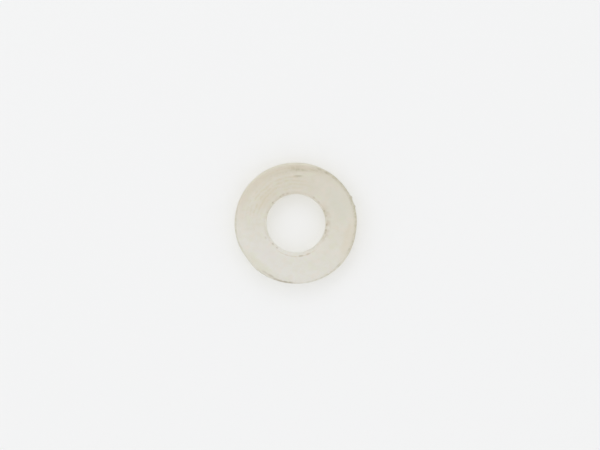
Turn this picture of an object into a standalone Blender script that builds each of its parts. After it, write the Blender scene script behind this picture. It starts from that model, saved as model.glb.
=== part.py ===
"""Flat plastic washer: one turned ring with rounded edges, lying on the ground plane.

The ring's axis is +Z, and its bottom face rests on Z = 0 with the centre of the bore at the
origin. Lengths are in metres.
"""

import math

import bpy

# Driving dimensions. Each one can be changed by itself.
OUTER_DIAMETER = 0.0118
BORE_DIAMETER = 0.0056
THICKNESS = 0.0016
RIM_ROUNDING = 0.0002  # radius of the two edges of the outer rim
BORE_ROUNDING = 0.0002  # radius of the two edges of the bore

TURN_STEPS = 96  # flats around the ring
ARC_STEPS = 3  # flats across each rounded edge
SEAM_MERGE = 1e-7  # closes the turn where it meets itself
FACE_WEIGHT = 100  # how far a broad face outweighs a narrow one in the shading

NYLON_COLOUR = (0.66, 0.64, 0.57, 1.0)
NYLON_ROUGHNESS = 0.45


def clear_scene():
    """Removes whatever the scene holds, such as the startup cube."""
    for existing in list(bpy.data.objects):
        bpy.data.objects.remove(existing, do_unlink=True)


def rounded_corner(radius, height, rounding, start_angle):
    """Points of one rounded edge, as (distance from the axis, height), turning clockwise.

    radius and height give the centre of the rounding, and start_angle the direction from it
    to the first point. A quarter turn later the rounding has become the next face.
    """
    points = []
    for step in range(ARC_STEPS + 1):
        angle = start_angle - step / ARC_STEPS * math.pi / 2
        points.append((radius + rounding * math.cos(angle), height + rounding * math.sin(angle)))
    return points


def ring_profile():
    """The ring's cross-section, clockwise: down the outer rim, and back up the bore."""
    rim = OUTER_DIAMETER / 2 - RIM_ROUNDING
    bore = BORE_DIAMETER / 2 + BORE_ROUNDING
    return (
        rounded_corner(rim, THICKNESS - RIM_ROUNDING, RIM_ROUNDING, math.pi / 2)
        + rounded_corner(rim, RIM_ROUNDING, RIM_ROUNDING, 0.0)
        + rounded_corner(bore, BORE_ROUNDING, BORE_ROUNDING, -math.pi / 2)
        + rounded_corner(bore, THICKNESS - BORE_ROUNDING, BORE_ROUNDING, -math.pi)
    )


def nylon():
    """Natural, uncoloured nylon: a milky off-white with a soft shine."""
    material = bpy.data.materials.new("natural_nylon")
    material.use_nodes = True
    shader = material.node_tree.nodes["Principled BSDF"]
    shader.inputs["Base Color"].default_value = NYLON_COLOUR
    shader.inputs["Roughness"].default_value = NYLON_ROUGHNESS
    shader.inputs["Metallic"].default_value = 0.0
    material.diffuse_color = NYLON_COLOUR
    return material


def washer(collection):
    """The whole washer: its cross-section turned once around Z."""
    outline = ring_profile()
    points = [(radius, 0.0, height) for radius, height in outline]
    edges = [(i, (i + 1) % len(points)) for i in range(len(points))]
    mesh = bpy.data.meshes.new("washer")
    mesh.from_pydata(points, edges, [])
    mesh.materials.append(nylon())

    ring = bpy.data.objects.new("washer", mesh)
    collection.objects.link(ring)

    turn = ring.modifiers.new("turn", "SCREW")
    turn.axis = "Z"
    turn.angle = 2 * math.pi
    turn.screw_offset = 0.0
    turn.steps = TURN_STEPS
    turn.render_steps = TURN_STEPS
    turn.use_merge_vertices = True
    turn.merge_threshold = SEAM_MERGE
    turn.use_smooth_shade = True

    # Shading only: the two broad faces stay flat to the eye right up to their roundings.
    shading = ring.modifiers.new("flat_faces", "WEIGHTED_NORMAL")
    shading.weight = FACE_WEIGHT
    return ring


def main():
    clear_scene()
    collection = bpy.data.collections.new("flat_washer")
    bpy.context.scene.collection.children.link(collection)
    washer(collection)


main()
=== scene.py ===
# %% [markdown]
# # A flat washer in natural nylon
#
# A flat washer is one ring of plastic with nothing to assemble. What makes it look real is small:
# edges that were rounded unevenly, faint rings left by the cutting tool, a nick, specks of dirt and
# painted shade along the edges, an uneven tint, and above all the milky depth of a plastic that
# light passes through.
#
# The imported model comes first. It holds the real size, and everything after it is built around it,
# in metres, with +Z out of the top face.

# %% Load the imported model
import math

import bmesh
import bpy
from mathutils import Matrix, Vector, noise


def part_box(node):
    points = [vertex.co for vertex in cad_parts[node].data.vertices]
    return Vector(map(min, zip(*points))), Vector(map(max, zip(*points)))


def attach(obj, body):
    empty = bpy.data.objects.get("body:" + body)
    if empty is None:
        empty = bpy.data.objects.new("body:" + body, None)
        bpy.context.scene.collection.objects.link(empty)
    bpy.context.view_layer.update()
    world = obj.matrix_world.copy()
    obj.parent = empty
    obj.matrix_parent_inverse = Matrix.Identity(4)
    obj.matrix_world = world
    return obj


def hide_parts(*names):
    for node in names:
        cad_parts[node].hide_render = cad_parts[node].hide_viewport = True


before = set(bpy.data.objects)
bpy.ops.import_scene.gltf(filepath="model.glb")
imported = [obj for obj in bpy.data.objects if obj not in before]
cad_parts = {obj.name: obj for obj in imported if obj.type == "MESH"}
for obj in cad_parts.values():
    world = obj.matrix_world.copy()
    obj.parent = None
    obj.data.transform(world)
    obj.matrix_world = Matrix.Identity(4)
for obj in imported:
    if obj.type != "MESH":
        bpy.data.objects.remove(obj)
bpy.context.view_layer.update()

# %% [markdown]
# ## Sizes, read from the model
#
# A ring needs four sizes: its outer radius, its bore, its thickness and how much its edges are
# rounded. The first and the third are the model's box. The other two are measured on its points:
# the bore is the nearest that any point comes to the axis, and the rounding is the step from the
# outermost point of the rim to the outermost point of the flat face.

# %% Measure the ring
MM = 0.001


def from_axis(point):
    """How far a point lies from the washer's axis."""
    return math.hypot(point.x, point.y)


top_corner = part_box("washer")[1]
outer_radius = top_corner.x
thickness = top_corner.z
model_points = [v.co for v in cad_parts["washer"].data.vertices]
bore_radius = min(from_axis(p) for p in model_points)
flat_radius = max(from_axis(p) for p in model_points if p.z > thickness - 0.001 * MM)
rounding = outer_radius - flat_radius
for label, size in (
    ("outer radius", outer_radius),
    ("bore radius", bore_radius),
    ("thickness", thickness),
    ("edge rounding", rounding),
):
    print(f"{label}: {size / MM:.3f} mm")

# %% [markdown]
# ## The cross-section
#
# A turned part is easiest to think of as one cross-section that travels round an axis. On a washer
# that section is a rectangle with rounded corners. Its points could all be placed by hand, but it is
# quicker to start from four corners and four edges, and to let a vertex bevel round the corners.

# %% Draw the section and round its corners
CORNER_STEPS = 6
TOP_CUTS = 95
BOTTOM_CUTS = 15
WALL_CUTS = 13

ring = bmesh.new()
corners = [
    ring.verts.new((radius, 0, height))
    for radius, height in (
        (bore_radius, 0),
        (outer_radius, 0),
        (outer_radius, thickness),
        (bore_radius, thickness),
    )
]
for corner, following in zip(corners, corners[1:] + corners[:1]):
    ring.edges.new((corner, following))
bmesh.ops.bevel(
    ring,
    geom=ring.verts[:] + ring.edges[:],
    offset=rounding,
    offset_type="OFFSET",
    segments=CORNER_STEPS,
    profile=0.5,
    affect="VERTICES",
    material=-1,
)
print("section after rounding:", len(ring.verts), "points")

# %% [markdown]
# ## Points to carve into
#
# The section has points on its corners only, and a face without points can't hold a nick. The long
# edges are subdivided, the top one most, because all the marks are on the top face. Cutting the
# finished ring instead would work too, but it would be slower and the points would be less even.

# %% Give the long edges more points


def long_edges(level):
    """The section's long edges: "top", "bottom" or "wall"."""
    found = []
    for edge in ring.edges:
        if edge.calc_length() < 2 * rounding:
            continue
        heights = [v.co.z for v in edge.verts]
        upright = max(heights) - min(heights) > rounding
        where = "wall" if upright else "top" if heights[0] > thickness / 2 else "bottom"
        if where == level:
            found.append(edge)
    return found


for level, cuts in (("top", TOP_CUTS), ("bottom", BOTTOM_CUTS), ("wall", WALL_CUTS)):
    bmesh.ops.subdivide_edges(ring, edges=long_edges(level), cuts=cuts)
print("section with points for detail:", len(ring.verts), "points")

# %% [markdown]
# ## The turn
#
# Spin carries the section once round the axis. A Screw modifier would do the same, but the points
# are needed at once, to be carved one by one. With use_merge on, the last copy closes onto the
# first. Doubles are merged all the same, then the normals are recalculated, because a spin may
# leave a shape inside out. A positive volume proves that the faces point outwards.

# %% Spin the section into a ring
TURN_STEPS = 480

bmesh.ops.spin(
    ring,
    geom=ring.verts[:] + ring.edges[:],
    cent=(0, 0, 0),
    axis=(0, 0, 1),
    angle=math.tau,
    steps=TURN_STEPS,
    use_merge=True,
)
bmesh.ops.remove_doubles(ring, verts=ring.verts[:], dist=0.0001 * MM)
bmesh.ops.recalc_face_normals(ring, faces=ring.faces[:])
print("ring:", len(ring.faces), "faces, open edges:", sum(not e.is_manifold for e in ring.edges))
print(f"volume: {ring.calc_volume(signed=True) / MM**3:.1f} cubic mm")

# %% [markdown]
# ## Uneven rounding
#
# The edges of a cheap washer are rarely rounded evenly. Here the flat of the top face sits a little
# off centre, so the rounding is broad on one side of the rim and nearly sharp on the other, and
# round the bore it is the other way about. A bevel has one width all round, so the unevenness comes
# afterwards. The top of each rounding slides sideways with the flat, its foot stays on the wall, and
# a point between them moves by its share of the way. Nothing can leave the wall that way, as long as
# the slide is shorter than the rounding.

# %% Slide the top flat off centre
FLAT_SLIDE = 0.18 * MM
SLIDE_TOWARDS = math.radians(278)


def fade(value, start, end):
    """0 at start, 1 at end, with a smooth step between them."""
    share = min(max((value - start) / (end - start), 0.0), 1.0)
    return share * share * (3 - 2 * share)


def share_of_slide(point):
    """1 on the top flat, 0 on the walls, and in between across the upper roundings."""
    if point.z < thickness - rounding:
        return 0.0
    nearest_wall = min(from_axis(point) - bore_radius, outer_radius - from_axis(point))
    return min(max(nearest_wall / rounding, 0.0), 1.0)


slide = Vector((math.cos(SLIDE_TOWARDS), math.sin(SLIDE_TOWARDS), 0)) * FLAT_SLIDE
for vert in ring.verts:
    vert.co += slide * share_of_slide(vert.co)
print(f"rounding is {(rounding - FLAT_SLIDE) / MM:.2f} to {(rounding + FLAT_SLIDE) / MM:.2f} mm wide")

# %% [markdown]
# ## Marks of the tool
#
# The face was cut by a pointed tool moving slowly across a turning blank, which leaves fine
# concentric rings. They are only a few thousandths of a millimetre deep, and stronger on one side.
# A bump in the material could fake them, but a groove in the mesh is there at every angle. The same
# pass adds a slow waviness, because cut nylon relaxes and is never truly flat.

# %% Cut faint rings into the top face
RING_PITCH = 0.36 * MM
RING_DEPTH = 0.006 * MM
RING_SIDE = math.radians(135)
RING_WANDER = 0.4  # of a pitch
FAINTEST_RING = 0.35  # of the strongest
FLAT_DROP = 0.2 * rounding
WAVE_SIZE = 2.2 * MM
WAVE_DEPTH = 0.012 * MM


def ring_strength(angle):
    """Rings are clear on the side they were cut last, and faint elsewhere."""
    return FAINTEST_RING + (1 - FAINTEST_RING) * max(math.cos(angle - RING_SIDE), 0.0)


for vert in ring.verts:
    lies_flat = fade(vert.co.z, thickness - FLAT_DROP, thickness)
    if lies_flat == 0.0:
        continue
    angle = math.atan2(vert.co.y, vert.co.x)
    wander = noise.noise(vert.co / WAVE_SIZE)
    turns = from_axis(vert.co) / RING_PITCH + wander * RING_WANDER
    groove = 0.5 - 0.5 * math.cos(math.tau * turns)
    depth = RING_DEPTH * ring_strength(angle) * groove + WAVE_DEPTH * (wander * 0.5 + 0.5)
    vert.co.z -= depth * lies_flat
print(f"tool rings across the face: {(flat_radius - bore_radius - rounding) / RING_PITCH:.1f}")

# %% [markdown]
# ## Knocks
#
# Handling leaves a lens-shaped nick in the face with a lip on each side, a long shallow scuff near
# the rim, and tiny pits where the edge of the bore was chipped. Cutting them out with a boolean would
# leave edges too hard for soft plastic. Each is a smooth hollow instead, which fades out with
# distance. The bearings of the pits are kept in one list, because the same places are coloured with
# dirt later on.

# %% Press the nick, the scuff and the pits into the top
NICK_AT = Vector((0.24, 4.56, 0)) * MM
NICK_LENGTH = 0.95 * MM
NICK_WIDTH = 0.17 * MM
NICK_DEPTH = 0.045 * MM
NICK_LIP = 0.010 * MM
LIP_AT = 1.9  # half widths from the middle of the nick
SCUFF_CENTRE = Vector((0.72, -3.49, 0)) * MM
SCUFF_RADIUS = 8.62 * MM
SCUFF_WIDTH = 0.16 * MM
SCUFF_DEPTH = 0.010 * MM
SCUFF_FROM = 3.8 * MM
SCUFF_FULL = 4.8 * MM
PIT_BEARINGS = (-18.5, -12.8, -2.7, 23, 120, 138.5, 222, 232.5)
PIT_RING = bore_radius + 0.19 * MM
PIT_SIZE = 0.07 * MM
PIT_DEPTH = 0.03 * MM


def bell(distance, size):
    """1 in the middle, dying away to nothing at about twice the size."""
    return math.exp(-((distance / size) ** 2))


def at_bearing(degrees, radius):
    """A point at a bearing, counted anticlockwise from +X, and a distance from the axis."""
    return Vector((math.cos(math.radians(degrees)), math.sin(math.radians(degrees)), 0)) * radius


def nick_depth(point):
    """How far the nick presses a point down. Its lips press by less than nothing."""
    along = bell(point.x - NICK_AT.x, NICK_LENGTH / 2)
    across = (point.y - NICK_AT.y) / (NICK_WIDTH / 2)
    hollow = math.exp(-across * across)
    lips = math.exp(-((abs(across) - LIP_AT) ** 2))
    return along * (NICK_DEPTH * hollow - NICK_LIP * lips)


def scuff_depth(point):
    """How far the scuff presses a point down. It runs along the upper rim only."""
    off_line = math.hypot(point.x - SCUFF_CENTRE.x, point.y - SCUFF_CENTRE.y) - SCUFF_RADIUS
    return SCUFF_DEPTH * bell(off_line, SCUFF_WIDTH) * fade(point.y, SCUFF_FROM, SCUFF_FULL)


pits = [at_bearing(bearing, PIT_RING) for bearing in PIT_BEARINGS]
for vert in ring.verts:
    if vert.co.z < thickness - rounding:
        continue
    here = Vector((vert.co.x, vert.co.y, 0))
    pit = sum(bell((here - place).length, PIT_SIZE) for place in pits)
    vert.co.z -= nick_depth(here) + scuff_depth(here) + PIT_DEPTH * pit
print("pits in the edge of the bore:", len(pits))

# %% [markdown]
# ## A ring that isn't quite round
#
# Thin nylon gives when it is cut and again when it is stored, so the outline is a few hundredths of
# a millimetre out of round and slightly wavy. The rim has a few flat places and bulges, and two tiny
# burrs where the tool left it. The bore is worn a little wider, and is a touch off centre. A lattice
# could do the squeeze but not the small bulges, so each point is pushed by itself. A push is outward
# from the axis, and the same at every height, so the walls stay straight.

# %% Push the outline in and out
SQUEEZE = (1.003, 0.992, 1.0)
OUTLINE_WAVE = 0.016 * MM
OUTLINE_WAVE_SIZE = 1.7 * MM
# Each has its bearing in degrees, and its height and its reach along the rim in mm.
BULGES = ((310, 0.055, 2.2), (214, -0.070, 0.9), (352, -0.055, 1.1))
BURRS = ((25, 0.12, 0.14), (16, 0.08, 0.12))
BORE_WEAR = 0.05 * MM
BORE_OFF_CENTRE = 0.022 * MM
BORE_TOWARDS = 337

bmesh.ops.scale(ring, vec=SQUEEZE, verts=ring.verts[:])
for vert in ring.verts:
    distance = from_axis(vert.co)
    away = Vector((vert.co.x, vert.co.y, 0)).normalized()
    push = OUTLINE_WAVE * noise.noise(away * distance / OUTLINE_WAVE_SIZE)
    near_rim = fade(distance, outer_radius - 3 * rounding, outer_radius - rounding)
    for bearing, size, reach_out in BULGES + BURRS:
        off = (away - at_bearing(bearing, 1)).length * outer_radius
        push += near_rim * size * MM * bell(off, reach_out * MM)
    near_bore = fade(distance, bore_radius + 3 * rounding, bore_radius + rounding)
    lean = away.dot(at_bearing(BORE_TOWARDS, 1))
    push += near_bore * (BORE_WEAR + BORE_OFF_CENTRE * lean)
    vert.co += away * push
for label, side in (("across X", 0), ("across Y", 1)):
    sides = [vert.co[side] for vert in ring.verts]
    print(f"{label}: {(max(sides) - min(sides)) / MM:.2f} mm")

# %% [markdown]
# ## One piece, in the model's place
#
# The ring is whole, so it becomes a mesh with smooth shading. The many faces across each rounding
# make the turn from face to wall look soft, and need no modifier. Its object stays at the origin,
# because the place and the size are in the mesh. It then takes the place of the imported model's
# washer, which is hidden, and is put on the root body.

# %% Finish the mesh
mesh = bpy.data.meshes.new("nylon_ring")
ring.to_mesh(mesh)
ring.free()
mesh.shade_smooth()
washer = bpy.data.objects.new("nylon_ring", mesh)
bpy.context.scene.collection.objects.link(washer)
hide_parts("washer")
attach(washer, "root")
print("triangles:", sum(len(p.vertices) - 2 for p in mesh.polygons))

# %% [markdown]
# ## Nylon that light passes through
#
# Milky nylon sends back part of the light and lets part of it through. A Principled shader does the
# first, with a soft satin shine. A Translucent shader does the second: light that lands on one side
# comes out scattered on the other, so the shadow round the washer is weak and takes the warm tint of
# the plastic. A Mix Shader joins the two. Real scattering under the surface would be closer still,
# but it is slow and grainy, and at this size it can't be told apart.

# %% Join the two shaders
LIGHT_THROUGH = 0.8
NYLON_IOR = 1.53

nylon = bpy.data.materials.new("natural_nylon")
nylon.use_nodes = True
tree = nylon.node_tree
shader = tree.nodes["Principled BSDF"]
shader.inputs["IOR"].default_value = NYLON_IOR
glow = tree.nodes.new("ShaderNodeBsdfTranslucent")
blend = tree.nodes.new("ShaderNodeMixShader")
blend.inputs[0].default_value = LIGHT_THROUGH
tree.links.new(shader.outputs["BSDF"], blend.inputs[1])
tree.links.new(glow.outputs["BSDF"], blend.inputs[2])
tree.links.new(blend.outputs["Shader"], tree.nodes["Material Output"].inputs["Surface"])
mesh.materials.append(nylon)
print(f"light let through: {LIGHT_THROUGH:.0%}")

# %% [markdown]
# ## Patterns that read like sums
#
# Tints, stains, dirt, painted shade and painted light are all patterns in one colour, and could be
# wired up by hand in the node editor. A few small helpers do it here instead. Each makes one node and
# gives back its output, so that a pattern reads like a sum. The patterns use Object coordinates,
# which are metres on the washer itself, so that a stain stays where it is put.

# %% Helpers for the patterns


def feed(socket, value):
    """Put a number, a colour or another node's output into a socket."""
    if isinstance(value, bpy.types.NodeSocket):
        tree.links.new(value, socket)
    else:
        socket.default_value = value


def calc(operation, *values):
    """A Math node."""
    node = tree.nodes.new("ShaderNodeMath")
    node.operation = operation
    for socket, value in zip(node.inputs, values):
        feed(socket, value)
    return node.outputs["Value"]


def vector_calc(operation, *values):
    """A Vector Math node. Length and dot product give a number, the rest give a vector."""
    node = tree.nodes.new("ShaderNodeVectorMath")
    node.operation = operation
    for socket, value in zip(node.inputs, values):
        feed(socket, value)
    return node.outputs["Value" if operation in ("LENGTH", "DOT_PRODUCT") else "Vector"]


def step_up(value, start, end):
    """0 where value is start, 1 where it is end, and smooth between. It may also run downwards."""
    node = tree.nodes.new("ShaderNodeMapRange")
    node.interpolation_type = "SMOOTHSTEP"
    feed(node.inputs["Value"], value)
    feed(node.inputs["From Min"], start)
    feed(node.inputs["From Max"], end)
    return node.outputs["Result"]


def mottle(size, detail=2.0, place=(0, 0, 0)):
    """Soft noise from 0 to 1 whose patches are about this size. place picks another piece of it."""
    node = tree.nodes.new("ShaderNodeTexNoise")
    feed(node.inputs["Vector"], vector_calc("ADD", position, place))
    node.inputs["Scale"].default_value = 1 / size
    node.inputs["Detail"].default_value = detail
    return node.outputs["Fac"]


def tint(base, colour, share):
    """Mix a colour into base by a share from 0 to 1."""
    node = tree.nodes.new("ShaderNodeMix")
    node.data_type = "RGBA"
    feed(node.inputs["Factor"], share)
    feed(node.inputs["A"], base)
    feed(node.inputs["B"], colour)
    return node.outputs["Result"]


position = tree.nodes.new("ShaderNodeTexCoord").outputs["Object"]
on_plan = vector_calc("MULTIPLY", position, (1, 1, 0))
reach = vector_calc("LENGTH", on_plan)
outward = vector_calc("NORMALIZE", on_plan)
height = vector_calc("DOT_PRODUCT", position, (0, 0, 1))
print("nodes for the shaders and the coordinates:", len(tree.nodes))

# %% [markdown]
# ## Places on the ring
#
# Stains sit at places that are easy to name on a ring: a band at some distance from the axis, a
# sector at some bearing, or a spot. They could be painted on an unwrapped image, but masks that are
# worked out have no seam and no smallest detail. Each helper gives 1 at its place and fades to 0
# around it, and multiplying a band by a sector gives an arc.

# %% Helpers for places


def band(radius, half_width, distance=None):
    """1 along a circle of this radius, fading to 0 at half_width on both sides."""
    off = calc("ABSOLUTE", calc("SUBTRACT", reach if distance is None else distance, radius))
    return step_up(off, half_width, 0.0)


def sector(bearing, half_angle, soft=12):
    """1 within half_angle degrees of a bearing, with a soft border."""
    toward = vector_calc("DOT_PRODUCT", outward, tuple(at_bearing(bearing, 1)))
    outside = math.cos(math.radians(half_angle + soft))
    inside = math.cos(math.radians(max(half_angle - soft, 0)))
    return step_up(toward, outside, inside)


def spot(place, length, width, turn=0):
    """1 in the middle of an oval spot of this length and width, turned by some degrees."""
    node = tree.nodes.new("ShaderNodeMapping")
    node.vector_type = "TEXTURE"
    feed(node.inputs["Vector"], on_plan)
    node.inputs["Location"].default_value = place
    node.inputs["Rotation"].default_value = (0, 0, math.radians(turn))
    node.inputs["Scale"].default_value = (length / 2, width / 2, 1)
    return step_up(vector_calc("LENGTH", node.outputs["Vector"]), 1.0, 0.2)


def product(*values):
    """All the masks and shares multiplied together."""
    total = values[0]
    for value in values[1:]:
        total = calc("MULTIPLY", total, value)
    return total


print(f"from bore to rim: {(outer_radius - bore_radius) / MM:.2f} mm")

# %% [markdown]
# ## Uneven tint
#
# This washer is darker and warmer towards the top, and slightly cooler and paler at the lower left.
# One flat colour would look like paint. Here two broad gradients carry the change, and mottle at
# three sizes breaks it up, so that no border can be seen.

# %% Colour the body
BODY_COLOUR = (0.827, 0.811, 0.791, 1)
WARM_COLOUR = (0.795, 0.769, 0.738, 1)
COOL_COLOUR = (0.838, 0.829, 0.830, 1)
SHADE_COLOUR = (0.740, 0.700, 0.610, 1)
ROSY_COLOUR = (0.860, 0.795, 0.765, 1)
GREEN_COLOUR = (0.810, 0.825, 0.735, 1)
BROAD_PATCH = 1.9 * MM
BLOTCH = 0.75 * MM
FINE_PATCH = 0.45 * MM
SHADE_SHARE = 0.20
BLOTCH_SHARE = 0.36
WARM_BEARING = 100
WARM_BREAK = 0.8
COOL_BEARING = 245
COOL_BREAK = -0.7


def gradient(bearing):
    """-1 on one side of the ring, 1 on the side at this bearing, even in between."""
    return vector_calc("DOT_PRODUCT", on_plan, tuple(at_bearing(bearing, 1 / outer_radius)))


broad_mottle = mottle(BROAD_PATCH, detail=2.0)
fine_mottle = mottle(FINE_PATCH, detail=3.0, place=(0.01, 0.02, 0))
unevenness = calc("SUBTRACT", broad_mottle, 0.5)
warm_edge = calc("ADD", gradient(WARM_BEARING), calc("MULTIPLY", unevenness, WARM_BREAK))
cool_edge = calc("ADD", gradient(COOL_BEARING), calc("MULTIPLY", unevenness, COOL_BREAK))
body = tint(BODY_COLOUR, WARM_COLOUR, step_up(warm_edge, -0.5, 1.0))
body = tint(body, COOL_COLOUR, step_up(cool_edge, -0.2, 0.9))
body = tint(body, SHADE_COLOUR, product(step_up(fine_mottle, 0.40, 0.70), SHADE_SHARE))
blotches = mottle(BLOTCH, detail=2.0, place=(0.02, 0.07, 0))
body = tint(body, ROSY_COLOUR, product(step_up(blotches, 0.50, 0.72), BLOTCH_SHARE))
body = tint(body, GREEN_COLOUR, product(step_up(blotches, 0.50, 0.28), BLOTCH_SHARE))
print("nodes after the yellowing:", len(tree.nodes))

# %% [markdown]
# ## Broad stains
#
# Handling and storage leave stains so broad and weak that they are felt more than seen. Here there is
# a greyer one at the right with a tan one beside the rim, a cool one at the lower left with a
# greenish one beside the rim, and a tan one at the upper left. Noise would put them anywhere, so
# each is an oval of its own that lies along the ring and has no border.

# %% Stain the body
# Each has its bearing in degrees, its distance from the axis, its length and its width in mm, its
# colour, and how strong it is.
STAINS = (
    (24, 4.4, 4.8, 2.4, (0.762, 0.768, 0.735, 1), 0.42),
    (-16, 5.3, 6.6, 1.5, (0.780, 0.695, 0.580, 1), 0.30),
    (22, 5.4, 4.4, 1.2, (0.760, 0.740, 0.680, 1), 0.36),
    (226, 4.2, 5.0, 2.4, (0.850, 0.820, 0.850, 1), 0.48),
    (228, 5.4, 6.2, 1.3, (0.740, 0.730, 0.600, 1), 0.34),
    (140, 3.8, 3.6, 1.8, (0.790, 0.720, 0.620, 1), 0.24),
)


def dab(bearing, radius, length, width):
    """A spot that lies along a circle, given in degrees and mm."""
    return spot(tuple(at_bearing(bearing, radius * MM)), length * MM, width * MM, turn=bearing + 90)


for bearing, radius, length, width, colour, strength in STAINS:
    body = tint(body, colour, product(dab(bearing, radius, length, width), strength))
print("broad stains:", len(STAINS))

# %% [markdown]
# ## Tool rings in the colour
#
# The rings also show as faint darker lines in the colour, at the upper left only, as well as in the
# shine. Copies of a thin circle could draw them, but a Wave texture in rings round Z does it in one
# node, and bends them a little. At a scale of 1 its rings are a twentieth of a full turn apart, so
# the scale that gives the wanted pitch follows from that.

# %% Draw the tool rings
WAVE_PERIOD = math.tau / 20
RINGS_SHARE = 0.62

waves = tree.nodes.new("ShaderNodeTexWave")
waves.wave_type = "RINGS"
waves.rings_direction = "Z"
feed(waves.inputs["Vector"], position)
waves.inputs["Scale"].default_value = WAVE_PERIOD / RING_PITCH
waves.inputs["Distortion"].default_value = 2.6
waves.inputs["Detail"].default_value = 1.0
waves.inputs["Detail Scale"].default_value = 1.2
rings = waves.outputs["Fac"]
rings_show = product(
    step_up(rings, 0.1, 1.0),
    sector(124, 42, soft=24),
    band(4.2 * MM, 1.5 * MM),
    step_up(fine_mottle, 0.32, 0.62),
)
body = tint(body, SHADE_COLOUR, product(rings_show, RINGS_SHARE))
print(f"wave scale for a pitch of {RING_PITCH / MM:.2f} mm: {WAVE_PERIOD / RING_PITCH:.0f}")

# %% [markdown]
# ## Where the face turns over
#
# The flat of the face was slid off centre, so its two borders are circles round the slid centre. On
# the broad side of each rounding the turned-over strip shows as a crescent. The face just inside the
# rim at the top left is darkened with painted shade, a faint band of painted shade runs all round the
# rim, and at the top the strip beyond is painted paler, as painted light. All follow the rim, so a
# distance from the axis and a sector are all they need.
#
# Everything from here on lies on the top face only, so it is painted on a copy of the clean colour,
# and the two are joined by height at the end.

# %% Colour the rim of the face
# The first colour is painted shade near the rim, and the second is painted light on the rounding.
RIM_SHADE_COLOUR = (0.700, 0.640, 0.550, 1)
LIT_RIM_COLOUR = (0.835, 0.830, 0.775, 1)
TOP_RIM_SHADE_SHARE = 0.42
RIM_SHADE_SHARE = 0.10
LIT_LIP_SHARE = 0.5
DAB_SIZE = 0.24 * MM
BETWEEN_DABS = 0.5  # how much dirt stays between two dabs

clean = body
flat_reach = vector_calc("LENGTH", vector_calc("SUBTRACT", on_plan, tuple(slide)))
dabs = step_up(mottle(DAB_SIZE, detail=2.0, place=(0.03, 0, 0)), 0.36, 0.62)
soft_dabs = calc("ADD", calc("MULTIPLY", dabs, 1 - BETWEEN_DABS), BETWEEN_DABS)

# Painted shade: the face is darkened just inside the rim at the top left.
top_rim_shade = product(step_up(reach, 4.7 * MM, 5.5 * MM), sector(110, 48, soft=35))
body = tint(body, RIM_SHADE_COLOUR, product(top_rim_shade, TOP_RIM_SHADE_SHARE))
# Painted shade: a faint darkening in a band all round the rim.
rim_shade = step_up(reach, outer_radius - 0.9 * MM, outer_radius - 0.1 * MM)
body = tint(body, RIM_SHADE_COLOUR, product(rim_shade, RIM_SHADE_SHARE))
# Painted light: the turned-over strip at the top is made paler.
lip = step_up(reach, outer_radius - 0.32 * MM, outer_radius - 0.16 * MM)
body = tint(body, LIT_RIM_COLOUR, product(lip, sector(98, 40, soft=25), LIT_LIP_SHARE))
print(f"the slid centre is {slide.length / MM:.2f} mm from the axis")

# %% [markdown]
# ## Thin lines at the borders
#
# Where the flat stops and the rounding starts there is a faint tan line, round the bore and the rim,
# and close to the bore a browner ring of painted shade. Each could be a groove in the mesh, but it is
# colour more than shape, so it is a narrow band times a sector, broken up by soft dabs of noise.

# %% Draw the borders of the crescents
TAN = (0.600, 0.470, 0.340, 1)
BORE_SHADE_COLOUR = (0.440, 0.360, 0.220, 1)
FLAT_BORDER = outer_radius - rounding - 0.15 * MM
BORE_BORDER = bore_radius + rounding + 0.05 * MM
RIM_BORDER_SHARE = 0.16
BORE_BORDER_SHARE = 0.34
BORE_SHADE_RING_SHARE = 0.16

rim_border = band(FLAT_BORDER, 0.16 * MM, distance=flat_reach)
rim_border = product(rim_border, sector(97, 22, soft=14), soft_dabs)
body = tint(body, TAN, product(rim_border, RIM_BORDER_SHARE))
bore_border = band(BORE_BORDER, 0.09 * MM, distance=flat_reach)
bore_border = product(bore_border, sector(273, 30, soft=14), soft_dabs)
body = tint(body, TAN, product(bore_border, BORE_BORDER_SHARE))
# Painted shade: a browner ring round the bore, open at the bottom.
bore_shade_ring = band(bore_radius + 0.15 * MM, 0.24 * MM)
bore_shade_ring = product(bore_shade_ring, sector(80, 150, soft=20), soft_dabs)
body = tint(body, BORE_SHADE_COLOUR, product(bore_shade_ring, BORE_SHADE_RING_SHARE))
print(f"borders of the flat: {BORE_BORDER / MM:.2f} and {FLAT_BORDER / MM:.2f} mm from its centre")

# %% [markdown]
# ## Painted shade along the edges
#
# The rounded rim is painted darker on its side away from the light. On the right it is a broad olive
# line right on the rim, which goes on as a thin one round the bottom and the left. Beside the bore,
# on the right, is a brownish patch of painted shade. Noise alone would spread it evenly, so each line
# is a band times a sector, and noise only breaks it up a little.

# %% Paint shade on the rim and the bore
# The olive is painted shade on the rim here, and dirt on the scuff and the smudges further on.
OLIVE_DIRT_AND_SHADE = (0.450, 0.420, 0.300, 1)
SHADED_RIM_LINE_SHARE = 0.50
THIN_SHADED_LINE_SHARE = 0.38
RIGHT_BORE_SHADE_SHARE = 0.24

# Painted shade: a broad olive line on the right of the rim.
shaded_rim_line = step_up(reach, outer_radius - 0.38 * MM, outer_radius - 0.10 * MM)
shaded_rim_line = product(shaded_rim_line, sector(18, 44, soft=18), soft_dabs)
body = tint(body, OLIVE_DIRT_AND_SHADE, product(shaded_rim_line, SHADED_RIM_LINE_SHARE))
# Painted shade: a thin line round the bottom and the left of the rim.
thin_shaded_line = step_up(reach, outer_radius - 0.20 * MM, outer_radius - 0.05 * MM)
thin_shaded_line = product(thin_shaded_line, sector(245, 76, soft=25), soft_dabs)
body = tint(body, OLIVE_DIRT_AND_SHADE, product(thin_shaded_line, THIN_SHADED_LINE_SHARE))
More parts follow.
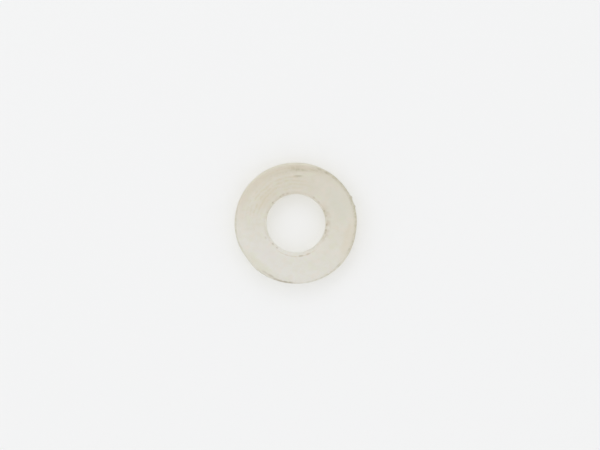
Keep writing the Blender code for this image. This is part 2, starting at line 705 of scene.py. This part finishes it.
# Painted shade: a brownish patch beside the bore on the right.
right_bore_shade = product(band(bore_radius + 0.30 * MM, 0.45 * MM), sector(0, 26, soft=16))
right_bore_shade = product(right_bore_shade, step_up(fine_mottle, 0.25, 0.60))
body = tint(body, BORE_SHADE_COLOUR, product(right_bore_shade, RIGHT_BORE_SHADE_SHARE))
print("nodes after the dirty edges:", len(tree.nodes))

# %% [markdown]
# ## Marks with a place of their own
#
# The nick is painted darker, and the scuff and each pit hold dirt. Noise would put such marks
# anywhere, so these get a place of their own. The pits use the same bearings as the hollows pressed
# into the mesh, so colour and shape stay together.

# %% Darken the nick, the scuff and the pits
DARK = (0.280, 0.220, 0.130, 1)
# Each smudge has its x, its y, its length and its width in mm.
SMUDGES = ((0.10, 5.28, 2.8, 0.8), (0.35, 5.13, 1.9, 0.4), (1.75, 5.15, 1.2, 0.35))
SMUDGE_TURN = -9  # degrees for each mm to the right, so that a smudge follows the rim
PIT_DAB = (2.99, 0.36, 0.25)  # distance from the axis, length and width in mm
SCUFF_SHARE = 0.16
SMUDGE_SHARE = 0.28
NICK_SHARE = 0.36
PIT_SHARE = 0.27

scuff_reach = vector_calc("LENGTH", vector_calc("SUBTRACT", on_plan, tuple(SCUFF_CENTRE)))
scuff = product(band(SCUFF_RADIUS, 0.26 * MM, distance=scuff_reach), sector(84, 30, soft=16))
body = tint(body, OLIVE_DIRT_AND_SHADE, product(scuff, soft_dabs, SCUFF_SHARE))
for x, y, length, width in SMUDGES:
    smudge = spot((x * MM, y * MM, 0), length * MM, width * MM, turn=SMUDGE_TURN * x)
    body = tint(body, OLIVE_DIRT_AND_SHADE, product(smudge, soft_dabs, SMUDGE_SHARE))
# The nick is painted darker.
nick = spot(tuple(NICK_AT), NICK_LENGTH * 1.35, NICK_WIDTH * 1.3)
body = tint(body, DARK, product(nick, NICK_SHARE))
for bearing in PIT_BEARINGS:
    body = tint(body, DARK, product(dab(bearing, *PIT_DAB), PIT_SHARE))
print("smudges:", len(SMUDGES), "dirty pits:", len(PIT_BEARINGS))

# %% [markdown]
# ## Dabs that lie along an edge
#
# The last is a row of dark dabs round the bore and along the rim: painted shade along the rim's
# darker side and round the bore, with a few specks of dirt among them. A list is the plainest way to
# keep them: each has its bearing in degrees, its distance from the axis and its length in mm, and
# how strong it is.

# %% Dab painted shade and dirt along the edges
BORE_DABS = (
    (13.5, 3.02, 0.30, 0.20),
    (42.5, 2.99, 0.55, 0.20),
    (55, 3.03, 0.45, 0.20),
    (106, 2.97, 0.42, 0.18),
    (114, 3.02, 0.52, 0.20),
    (206, 3.23, 0.45, 0.16),
    (277, 3.20, 0.40, 0.28),
    (280.5, 3.20, 0.40, 0.28),
    (291.5, 3.20, 0.75, 0.22),
)
RIM_DABS = (
    (-45, 5.77, 1.00, 0.18),
    (-26.5, 5.72, 0.50, 0.15),
    (50.5, 5.70, 0.60, 0.20),
    (58.5, 5.70, 0.80, 0.32),
    (66.5, 5.68, 0.80, 0.24),
    (238, 5.62, 1.00, 0.20),
    (244.5, 5.63, 1.00, 0.30),
    (250, 5.75, 0.90, 0.32),
    (254.5, 5.77, 0.85, 0.40),
    (259.7, 5.77, 0.90, 0.48),
    (265, 5.77, 0.80, 0.36),
)
DAB_WIDTH = 0.29  # mm

# Painted shade along the rim's darker side and round the bore, with a few specks of dirt.
for bearing, radius, length, strength in BORE_DABS + RIM_DABS:
    body = tint(body, DARK, product(dab(bearing, radius, length, DAB_WIDTH), strength))
print("dabs along the edges:", len(BORE_DABS + RIM_DABS))

# %% [markdown]
# ## Clean walls with fine lines
#
# The marks belong to the top, so they end on the upper rounding, and the walls and the underside
# stay clean. Cutting leaves the walls with fine lines round the ring. They are too fine for the
# mesh, so a sine of the height draws them in the colour, and mottle bends them a little so that they
# don't look printed.

# %% Keep the marks on top and draw the wall's lines
LINE_PITCH = 0.15 * MM
LINE_BEND = 9.0  # radians
LINE_SHARE = 0.5

on_top = step_up(height, thickness - 2.2 * rounding, thickness - 0.9 * rounding)
body = tint(clean, body, on_top)
wall = step_up(height, thickness - rounding, thickness - 2 * rounding)
bend = calc("MULTIPLY", broad_mottle, LINE_BEND)
line_wave = calc("SINE", calc("ADD", calc("MULTIPLY", height, math.tau / LINE_PITCH), bend))
wall_lines = product(step_up(line_wave, 0.0, 1.0), step_up(fine_mottle, 0.35, 0.65))
body = tint(body, SHADE_COLOUR, product(wall, wall_lines, LINE_SHARE))
print(f"lines up the wall: {thickness / LINE_PITCH:.0f}")

# %% [markdown]
# ## The colour of the light that comes through
#
# Light that crosses the plastic is a little brighter and less tinted than light that bounces off its
# surface, so one colour for both shaders would be wrong. At the walls it only has a short way to go,
# so there it is hardly tinted at all, and the paper close to the washer stays bright.

# %% Colour both shaders
THROUGH_TINT = (1.152, 1.169, 1.187)
CLEAR = (1.000, 0.985, 0.900, 1)
CLEAR_SHARE = 0.78
LINES_KEPT = 0.4  # how far the wall's lines stay tinted

through = vector_calc("MULTIPLY", body, THROUGH_TINT)
unlined = calc("SUBTRACT", 1.0, calc("MULTIPLY", wall_lines, LINES_KEPT))
feed(shader.inputs["Base Color"], body)
feed(glow.inputs["Color"], tint(through, CLEAR, product(wall, unlined, CLEAR_SHARE)))
print("nodes in the nylon:", len(tree.nodes))

# %% [markdown]
# ## Shine and grain
#
# The face has a satin shine that is duller where it was handled. One roughness all over would look
# moulded, so roughness follows the mottle, and a fine grain in the bump breaks up the reflections.
# The rings and the knocks are already in the mesh, so the bump stays tiny.

# %% Set the shine
SMOOTHEST = 0.36
BROAD_DULLING = 0.22
FINE_DULLING = 0.08
GRAIN_SIZE = 0.09 * MM
GRAIN_DEPTH = 0.02 * MM
GRAIN_STRENGTH = 0.25

gloss = calc("ADD", SMOOTHEST, calc("MULTIPLY", broad_mottle, BROAD_DULLING))
feed(shader.inputs["Roughness"], calc("ADD", gloss, calc("MULTIPLY", fine_mottle, FINE_DULLING)))
grain = tree.nodes.new("ShaderNodeBump")
grain.inputs["Strength"].default_value = GRAIN_STRENGTH
grain.inputs["Distance"].default_value = GRAIN_DEPTH
feed(grain.inputs["Height"], mottle(GRAIN_SIZE, detail=3.0, place=(0, 0.05, 0)))
feed(shader.inputs["Normal"], grain.outputs["Normal"])
print(f"roughness: {SMOOTHEST:.2f} to {SMOOTHEST + BROAD_DULLING + FINE_DULLING:.2f}")

# %% [markdown]
# ## The stage
#
# The washer lies on a plain sheet of white paper. A single square does for it, so large that its
# edge is never near. The sheet is a little below the washer, because two surfaces in exactly the
# same plane would flicker.

# %% Floor
FLOOR_SIZE = 3.0
FLOOR_GAP = 0.01 * MM
PAPER_COLOUR = (0.866, 0.870, 0.873, 1)

stage_mesh = bmesh.new()
bmesh.ops.create_grid(stage_mesh, x_segments=1, y_segments=1, size=FLOOR_SIZE / 2)
bmesh.ops.translate(stage_mesh, verts=stage_mesh.verts[:], vec=(0, 0, -FLOOR_GAP))
floor_mesh = bpy.data.meshes.new("floor")
stage_mesh.to_mesh(floor_mesh)
stage_mesh.free()
floor = bpy.data.objects.new("floor", floor_mesh)
bpy.context.scene.collection.objects.link(floor)

paper = bpy.data.materials.new("white_paper")
paper.use_nodes = True
paper_shader = paper.node_tree.nodes["Principled BSDF"]
paper_shader.inputs["Base Color"].default_value = PAPER_COLOUR
paper_shader.inputs["Roughness"].default_value = 0.9
paper_shader.inputs["Specular IOR Level"].default_value = 0.2
floor_mesh.materials.append(paper)
print(f"floor: {FLOOR_SIZE:.0f} m square, {FLOOR_GAP / MM:.2f} mm below the washer")

# %% [markdown]
# ## Soft light from all round
#
# The light is so soft that the washer hardly throws a shadow, only a darkening beside its walls. An
# evenly bright world gives most of it, as a light tent would. Three disc lamps add the rest: one
# overhead, and a larger one at the top and at the left for a faint sheen and a direction. Each lamp
# is given by its share of the light on the floor, and its power follows from its distance, so that
# moving a lamp doesn't change the exposure.

# %% Lights
FLOOR_IRRADIANCE = 3.28
WORLD_SHARE = 0.85
LAMP_DISTANCE = 0.6
# Each lamp has its name, its bearing and its elevation in degrees, its share, and its width in m.
LAMPS = (
    ("overhead_softbox", 0, 90, 0.09, 0.12),
    ("top_softbox", 95, 48, 0.035, 0.30),
    ("left_softbox", 165, 48, 0.020, 0.30),
)


def soft_light(name, bearing, elevation, share, size):
    """A disc lamp that gives the floor its share of FLOOR_IRRADIANCE."""
    up = math.radians(elevation)
    direction = at_bearing(bearing, math.cos(up)) + Vector((0, 0, math.sin(up)))
    spread = math.pi * (LAMP_DISTANCE**2 + (size / 2) ** 2)
    lamp = bpy.data.lights.new(name, "AREA")
    lamp.shape = "DISK"
    lamp.size = size
    lamp.energy = share * FLOOR_IRRADIANCE * spread / math.sin(up)
    holder = bpy.data.objects.new(name, lamp)
    holder.location = direction * LAMP_DISTANCE
    holder.rotation_mode = "QUATERNION"
    holder.rotation_quaternion = direction.to_track_quat("Z", "Y")
    bpy.context.scene.collection.objects.link(holder)
    print(f"{name}: {lamp.energy:.2f} W")


for described in LAMPS:
    soft_light(*described)

world = bpy.data.worlds.new("studio")
bpy.context.scene.world = world
world.use_nodes = True
background = world.node_tree.nodes["Background"]
background.inputs["Color"].default_value = (1, 1, 1, 1)
background.inputs["Strength"].default_value = WORLD_SHARE * FLOOR_IRRADIANCE / math.pi
print(f"world strength: {background.inputs['Strength'].default_value:.2f}")

# %% [markdown]
# ## The camera
#
# The washer is seen from straight above. A camera close by would show the wall on one side of the
# bore and hide it on the other, so it stands 40 cm off, with a lens long enough to fill the width
# that is wanted. A camera without any turn looks straight down already.

# %% Camera
VIEW_WIDTH = 58.0 * MM
CAMERA_HEIGHT = 0.40
SENSOR = 36.0
CAMERA_PLACE = (0.403 * MM, -0.18 * MM, CAMERA_HEIGHT)

camera_data = bpy.data.cameras.new("camera")
camera_data.sensor_width = SENSOR
camera_data.lens = SENSOR * (CAMERA_HEIGHT - thickness) / VIEW_WIDTH
camera = bpy.data.objects.new("camera", camera_data)
camera.location = CAMERA_PLACE
bpy.context.scene.collection.objects.link(camera)
bpy.context.scene.camera = camera
bpy.context.scene.view_settings.view_transform = "Standard"
print(f"lens: {camera_data.lens:.0f} mm, for a view {VIEW_WIDTH / MM:.0f} mm wide")
